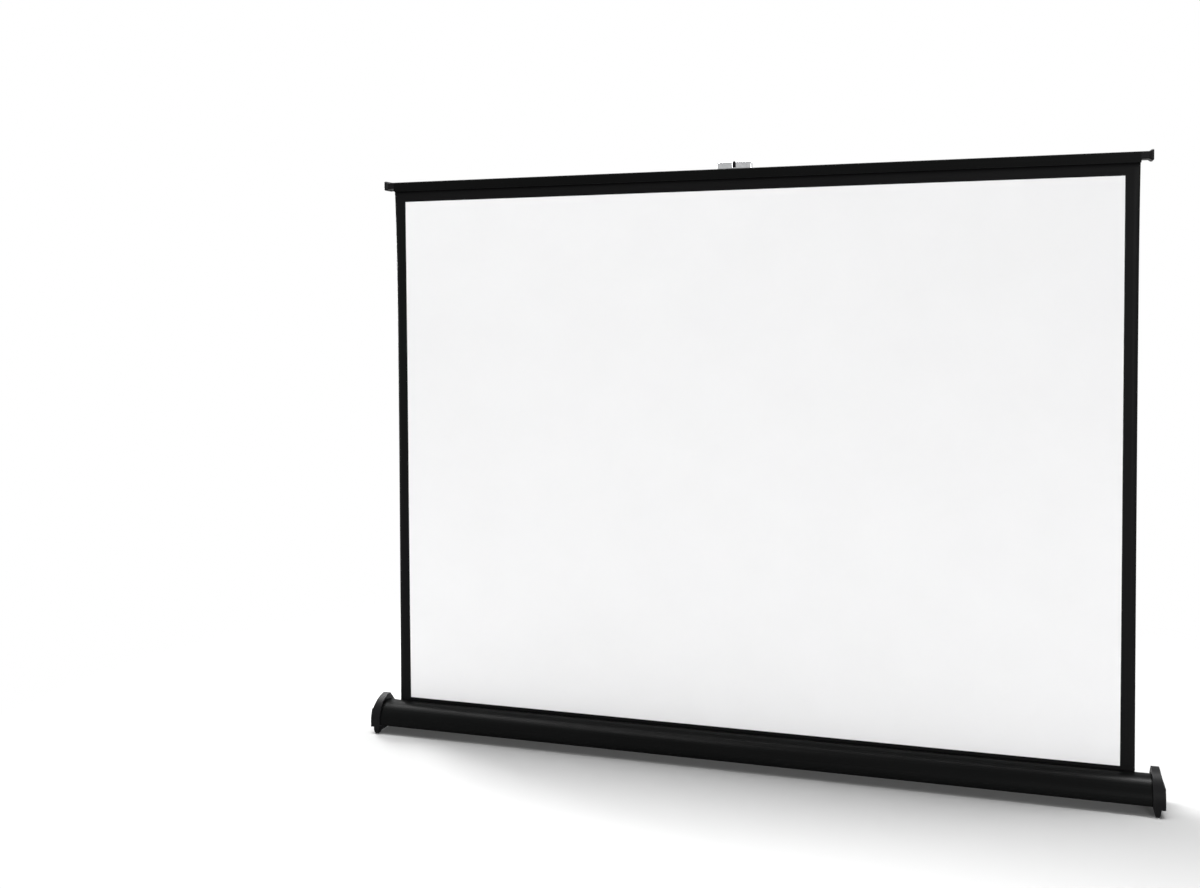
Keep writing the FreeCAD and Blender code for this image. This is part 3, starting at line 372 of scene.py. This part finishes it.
def dress_nodes(nodes):
    """Gives each CAD node the material of what it is made of."""
    looks = {
        black_anodised(): ("case_extrusion", "top_bar"),
        arm_paint(): ("left_lower_arm", "right_lower_arm", "left_upper_arm", "right_upper_arm",
                      "latch_hook", "latch_keeper"),
        black_plastic(): ("end_cap_left", "end_cap_right", "top_bar_plug_left", "top_bar_plug_right",
                          "latch_fin"),
        rubber(): ("foot_pads",),
        drawn_metal("bare_aluminium", ALUMINIUM, 0.26, (4, 1500, 1500)): ("roller_tube",),
        nylon(): ("roller_spring_plug", "roller_idle_plug", "spring_anchor"),
        chrome(): ("latch_grip", "left_elbow_rivet", "right_elbow_rivet", "base_pivot_rivets",
                   "top_pivot_rivets", "latch_screw"),
        drawn_metal("zinc_steel", ZINC, 0.34, (400, 400, 400)): (
            "spring_shaft", "idle_pin", "torsion_spring", "fabric_rod", "left_elbow_washer",
            "right_elbow_washer", "base_pivot_spacers", "top_pivot_spacers"),
        drawn_metal("black_zinc", BLACK_ZINC, 0.36, (500, 500, 500)): ("end_cap_screws", "keeper_rivets"),
        screen_back("wound_back", "Object"): ("wound_cloth",),
    }
    for material, names in looks.items():
        for name in names:
            slots = nodes[name].data.materials
            slots.clear()
            slots.append(material)


# Cloth

def cloth_section():
    """Points of the cloth's section from the roller to the end of its hem, and the length up to each."""
    foot = HEM_CENTRE - Vector((0, 0, HEM_RADIUS))
    points = [ROLLER_END.lerp(foot, row / CLOTH_ROWS) for row in range(CLOTH_ROWS + 1)]
    for step in range(1, HEM_ROWS + 1):
        turn = HEM_TURN * step / HEM_ROWS
        points.append(HEM_CENTRE + HEM_RADIUS * Vector((0, math.sin(turn), -math.cos(turn))))
    lengths = [0.0]
    for start, end in zip(points, points[1:]):
        lengths.append(lengths[-1] + (end - start).length)
    return points, lengths


def cloth_columns():
    """Flat distances from the middle at which the cloth has an upright row of points."""
    bend = CLOTH_HALF - CURL_WIDTH
    right = [bend + CURL_WIDTH * step / EDGE_COLUMNS for step in range(1, EDGE_COLUMNS + 1)]
    middle = [bend * (2 * step / MIDDLE_COLUMNS - 1) for step in range(MIDDLE_COLUMNS + 1)]
    return [-u for u in reversed(right)] + middle + right


def curl(share):
    """How much width the curled edges lose at a share of the cloth's height: none at its two ends."""
    if share >= 1:
        return 0.0
    top = 1 - math.exp(-(1 - share) / CURL_FADE_TOP)
    return CURL_LOSS * top * (1 - math.exp(-share / CURL_FADE_LOW))


def ripple(u, share):
    """How far the cloth stands off its plane: most near its edges, and not at all at its two ends."""
    if share >= 1:
        return 0.0
    calm = max(0.0, 1 - (2 * share - 1) ** RIPPLE_FLATNESS)
    wave = math.sin(RIPPLE_WAVES * u + RIPPLE_SWAY * math.sin(SWAY_WAVES * share))
    return RIPPLE * calm * wave * (RIPPLE_MIDDLE + abs(u) / CLOTH_HALF)


def cloth_point(u, point, share):
    """Where a point of the flat cloth hangs: straight in the middle, and a parabola back at its edges."""
    over = max(abs(u) - (CLOTH_HALF - CURL_WIDTH), 0)
    steepness = math.sqrt(1.5 * curl(share) / CURL_WIDTH ** 3)
    inward = 2 / 3 * steepness ** 2 * over ** 3
    back = steepness * over ** 2 + ripple(u, share)
    return Vector((u - math.copysign(inward, u), point.y + back, point.z))


def screen_cloth():
    """The cloth as one sheet of its real thickness, white to the front and black to the back."""
    points, lengths = cloth_section()
    columns = cloth_columns()
    reach = lengths[CLOTH_ROWS]
    vertices, flat = [], []
    for point, length in zip(points, lengths):
        for u in columns:
            vertices.append(cloth_point(u, point, length / reach))
            flat.append((u, length))
    width = len(columns)
    faces = [(row * width + i, row * width + i + 1, (row + 1) * width + i + 1, (row + 1) * width + i)
             for row in range(len(points) - 1) for i in range(width - 1)]
    mesh = bpy.data.meshes.new("screen_cloth")
    mesh.from_pydata(vertices, [], faces)
    layer = mesh.uv_layers.new(name="flat")
    for loop in mesh.loops:
        layer.data[loop.index].uv = flat[loop.vertex_index]
    mesh.materials.append(screen_front())
    mesh.materials.append(screen_back("screen_back", "UV"))
    cloth = bpy.data.objects.new("screen_cloth", mesh)
    bpy.context.scene.collection.objects.link(cloth)
    thicken(cloth)
    return cloth


def thicken(cloth):
    """Gives the sheet its thickness, with the back's material on its rear face and its rim."""
    shell = cloth.modifiers.new("thickness", "SOLIDIFY")
    shell.thickness = CLOTH_THICK
    shell.offset = 0
    shell.material_offset = 1
    shell.material_offset_rim = 1
    bpy.context.view_layer.update()
    solid = bpy.data.meshes.new_from_object(cloth.evaluated_get(bpy.context.evaluated_depsgraph_get()))
    cloth.modifiers.clear()
    cloth.data = solid
    for polygon in solid.polygons:
        polygon.use_smooth = True


def hang_cloth():
    """Hangs the cloth in the frame, in place of its plain solid, on the base's body."""
    cloth = screen_cloth()
    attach(cloth, "base")
    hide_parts("screen_fabric")
    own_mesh(cloth)


# Studio

def white_background(tree):
    """1 for rays that show the background, from the camera or in a gloss or a glass, and 0 for light."""
    path = tree.nodes.new("ShaderNodeLightPath")
    total = path.outputs["Is Camera Ray"]
    for name in ("Is Glossy Ray", "Is Transmission Ray"):
        add = tree.nodes.new("ShaderNodeMath")
        add.operation = "MAXIMUM"
        tree.links.new(total, add.inputs[0])
        tree.links.new(path.outputs[name], add.inputs[1])
        total = add.outputs[0]
    return total


def world():
    """A world that shows as white and gives only a little light."""
    studio = bpy.data.worlds.new("studio")
    bpy.context.scene.world = studio
    studio.use_nodes = True
    tree = studio.node_tree
    background = tree.nodes["Background"]
    background.inputs["Color"].default_value = BACKGROUND
    level = tree.nodes.new("ShaderNodeMapRange")
    level.inputs["To Min"].default_value = WORLD_LIGHT
    level.inputs["To Max"].default_value = 1.0
    tree.links.new(white_background(tree), level.inputs["Value"])
    tree.links.new(level.outputs["Result"], background.inputs["Strength"])


def floor_material():
    """A grey that its lamps light until it is white, and that fades away far from the screen."""
    g = Graph("floor", Roughness=0.9, Specular_IOR_Level=0.1)
    place = g.place()
    g.link(g.mix(g.noise(place, scale=3.0), *FLOOR_GREY), g.shader.inputs["Base Color"])
    distance = g.add("ShaderNodeVectorMath", operation="LENGTH")
    g.link(place, distance.inputs[0])
    shown = white_background(g.tree)
    near = g.span(distance.outputs["Value"], FLOOR_FADE, to=(1.0, 0.0))
    g.link(g.math("MAXIMUM", near, g.math("SUBTRACT", 1.0, shown)), g.shader.inputs["Alpha"])
    g.link(g.times(shown, FLOOR_GLOW), g.shader.inputs["Emission Strength"])
    return g.material


def floor():
    """One large face just under the feet."""
    half = FLOOR_SIZE / 2
    mesh = bpy.data.meshes.new("floor")
    corners = [(-half, -half), (half, -half), (half, half), (-half, half)]
    mesh.from_pydata([(x, y, -FLOOR_DROP) for x, y in corners], [], [(0, 1, 2, 3)])
    mesh.materials.append(floor_material())
    ground = bpy.data.objects.new("floor", mesh)
    bpy.context.scene.collection.objects.link(ground)


def look(holder, place, aim, roll=0.0):
    """Stands a lamp or camera at a place, turned to face a point."""
    direction = Vector(aim) - Vector(place)
    turn = direction.to_track_quat("-Z", "Y").to_matrix().to_4x4()
    holder.matrix_world = Matrix.Translation(place) @ turn @ Matrix.Rotation(roll, 4, "Z")


def lamps():
    """Rectangular lamps, as listed above."""
    for name, (place, aim, size, power) in LAMPS.items():
        light = bpy.data.lights.new(name, "AREA")
        light.shape = "RECTANGLE"
        light.size, light.size_y = size
        light.energy = power
        holder = bpy.data.objects.new(name, light)
        bpy.context.scene.collection.objects.link(holder)
        look(holder, place, aim)


def camera():
    """The camera of the front view."""
    lens = bpy.data.cameras.new("camera")
    lens.sensor_width = SENSOR_WIDTH
    lens.lens = CAMERA_LENS
    lens.shift_y = CAMERA_SHIFT
    holder = bpy.data.objects.new("camera", lens)
    bpy.context.scene.collection.objects.link(holder)
    look(holder, CAMERA_PLACE, CAMERA_AIM, CAMERA_ROLL)
    bpy.context.scene.camera = holder


bpy.context.scene.view_settings.view_transform = "Standard"
dress_nodes(frame["nodes"])
hang_cloth()
world()
floor()
lamps()
camera()
